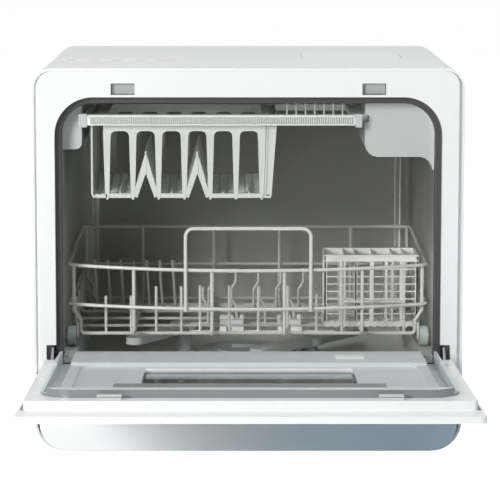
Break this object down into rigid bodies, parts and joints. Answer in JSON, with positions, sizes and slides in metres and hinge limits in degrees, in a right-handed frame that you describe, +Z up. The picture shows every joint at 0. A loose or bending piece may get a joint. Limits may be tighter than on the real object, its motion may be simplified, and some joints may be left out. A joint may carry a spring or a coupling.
{
  "type": "countertop dishwasher",
  "caption": "Compact countertop dishwasher with a drop-down windowed door, sliding wire rack with folding tines, cutlery basket, upper glass shelf and two spray arms.",
  "frame": {"origin": "centre of the overall box, open door and hose ports included, at the height of the feet undersides", "axes": "+Y from the open door towards the rear panel, +Z up, +X to the right as seen from the front"},
  "size_m": [0.42, 0.678, 0.384],
  "materials": {
    "shell_white": "smooth satin paint",
    "white_plastic": "gloss",
    "liner_plastic": "satin",
    "kick_gloss": "gloss",
    "grey_plastic": "matte",
    "light_plastic": "satin",
    "dark_plastic": "matte",
    "steel": "brushed",
    "zinc_steel": "plain zinc",
    "rubber": "matte",
    "rack_coat": "coated wire",
    "basket_plastic": "satin",
    "glass": "clear, dark behind",
    "touch_strip": "gloss",
    "board": "matte"
  },
  "bodies": {
    "cabinet": {"cabinet_shell": "shell_white", "front_fascia": "white_plastic", "kick_panel": "kick_gloss", "base_pan": "light_plastic", "rear_panel": "light_plastic", "feet": "rubber", "tub": "steel", "tub_gasket": "rubber", "sump": "dark_plastic", "filter_plate": "light_plastic", "spray_manifold": "light_plastic", "rack_rails": "grey_plastic", "tray_bracket": "light_plastic", "duct_cover": "light_plastic", "latch_housings": "grey_plastic", "hinge_brackets": "zinc_steel", "wash_pump": "dark_plastic", "drain_pump": "dark_plastic", "heater": "zinc_steel", "fan_housing": "light_plastic", "control_board": "board", "control_panel": "touch_strip", "water_ports": "grey_plastic", "cord_gland": "dark_plastic", "cabinet_screws": "zinc_steel"},
    "door": {"door_outer_panel": "white_plastic", "door_inner_frame": "white_plastic", "door_liner": "liner_plastic", "window_panes": "glass", "window_seal": "rubber", "drip_strip": "grey_plastic", "latch_strikes": "light_plastic", "liner_tab": "white_plastic", "wheel_stops": "grey_plastic", "hinge_arms": "zinc_steel", "hinge_pins": "zinc_steel", "door_screws": "zinc_steel"},
    "rack": {"rack_frame": "rack_coat", "rack_handle": "rack_coat", "fixed_tines": "rack_coat", "wheel_pins": "rack_coat", "tine_clips": "white_plastic"},
    "tines_front": {"tine_row_front": "rack_coat"},
    "tines_back": {"tine_row_back": "rack_coat"},
    "wheel_fl": {"wheel_front_left": "light_plastic"},
    "wheel_fr": {"wheel_front_right": "light_plastic"},
    "wheel_rl": {"wheel_rear_left": "light_plastic"},
    "wheel_rr": {"wheel_rear_right": "light_plastic"},
    "basket": {"cutlery_basket": "basket_plastic"},
    "tray": {"upper_tray": "white_plastic", "glass_shelf": "basket_plastic", "tray_clips": "white_plastic"},
    "arm_left": {"spray_arm_left": "light_plastic"},
    "arm_right": {"spray_arm_right": "light_plastic"},
    "filter": {"filter_cup": "light_plastic"},
    "lid": {"filler_lid": "white_plastic"},
    "catch_left": {"latch_catch_left": "grey_plastic"},
    "catch_right": {"latch_catch_right": "grey_plastic"},
    "rotor": {"wash_rotor": "dark_plastic"},
    "fan": {"fan_wheel": "dark_plastic"}
  },
  "joints": [
    {"name": "door_hinge", "type": "hinge", "parent": "cabinet", "child": "door", "pos_m": [0, -0.03601, 0.096], "axis": [-1, 0, 0], "range_deg": [0, 87]},
    {"name": "rack_slide", "type": "slide", "parent": "cabinet", "child": "rack", "axis": [0, 1, 0], "range_m": [-0.2, 0]},
    {"name": "wheel_front_left_spin", "type": "hinge", "parent": "rack", "child": "wheel_fl", "pos_m": [-0.175, 0.01799, 0.114], "axis": [-1, 0, 0], "range_deg": [-1200, 60]},
    {"name": "wheel_front_right_spin", "type": "hinge", "parent": "rack", "child": "wheel_fr", "pos_m": [0.175, 0.01799, 0.114], "axis": [-1, 0, 0], "range_deg": [-1200, 60]},
    {"name": "wheel_rear_left_spin", "type": "hinge", "parent": "rack", "child": "wheel_rl", "pos_m": [-0.175, 0.22599, 0.114], "axis": [-1, 0, 0], "range_deg": [-1200, 60]},
    {"name": "wheel_rear_right_spin", "type": "hinge", "parent": "rack", "child": "wheel_rr", "pos_m": [0.175, 0.22599, 0.114], "axis": [-1, 0, 0], "range_deg": [-1200, 60]},
    {"name": "upper_tray_slide", "type": "slide", "parent": "cabinet", "child": "tray", "axis": [0, 1, 0], "range_m": [-0.1, 0]},
    {"name": "cutlery_basket_lift", "type": "slide", "parent": "rack", "child": "basket", "axis": [0, 0, 1], "range_m": [0, 0.08]},
    {"name": "tines_front_fold", "type": "hinge", "parent": "rack", "child": "tines_front", "pos_m": [0.01, 0.03199, 0.1155], "axis": [-1, 0, 0], "range_deg": [0, 60]},
    {"name": "tines_back_fold", "type": "hinge", "parent": "rack", "child": "tines_back", "pos_m": [0.01, 0.07699, 0.1155], "axis": [-1, 0, 0], "range_deg": [0, 60]},
    {"name": "spray_arm_left_spin", "type": "hinge", "parent": "cabinet", "child": "arm_left", "pos_m": [-0.065, 0.11199, 0.105], "axis": [0, 0, 1], "continuous": true},
    {"name": "spray_arm_right_spin", "type": "hinge", "parent": "cabinet", "child": "arm_right", "pos_m": [0.065, 0.11199, 0.091], "axis": [0, 0, 1], "continuous": true},
    {"name": "filter_twist", "type": "hinge", "parent": "cabinet", "child": "filter", "pos_m": [0, 0.12199, 0.077], "axis": [0, 0, 1], "range_deg": [0, 90]},
    {"name": "filler_lid_hinge", "type": "hinge", "parent": "cabinet", "child": "lid", "pos_m": [0.108, 0.19279, 0.3818], "axis": [-1, 0, 0], "range_deg": [0, 95]},
    {"name": "latch_left_push", "type": "slide", "parent": "cabinet", "child": "catch_left", "axis": [0, 1, 0], "range_m": [0, 0.003], "stiffness_N_per_m": 400},
    {"name": "latch_right_push", "type": "slide", "parent": "cabinet", "child": "catch_right", "axis": [0, 1, 0], "range_m": [0, 0.003], "stiffness_N_per_m": 400},
    {"name": "wash_rotor_spin", "type": "hinge", "parent": "cabinet", "child": "rotor", "pos_m": [0.107, 0.12199, 0.043], "axis": [1, 0, 0], "continuous": true},
    {"name": "fan_spin", "type": "hinge", "parent": "cabinet", "child": "fan", "pos_m": [0.12, 0.25399, 0.359], "axis": [0, 0, 1], "continuous": true}
  ],
  "couplings": [
    {"joint": "wheel_front_left_spin", "follows": "rack_slide", "rad_per_m": 100},
    {"joint": "wheel_front_right_spin", "follows": "rack_slide", "rad_per_m": 100},
    {"joint": "wheel_rear_left_spin", "follows": "rack_slide", "rad_per_m": 100},
    {"joint": "wheel_rear_right_spin", "follows": "rack_slide", "rad_per_m": 100}
  ]
}
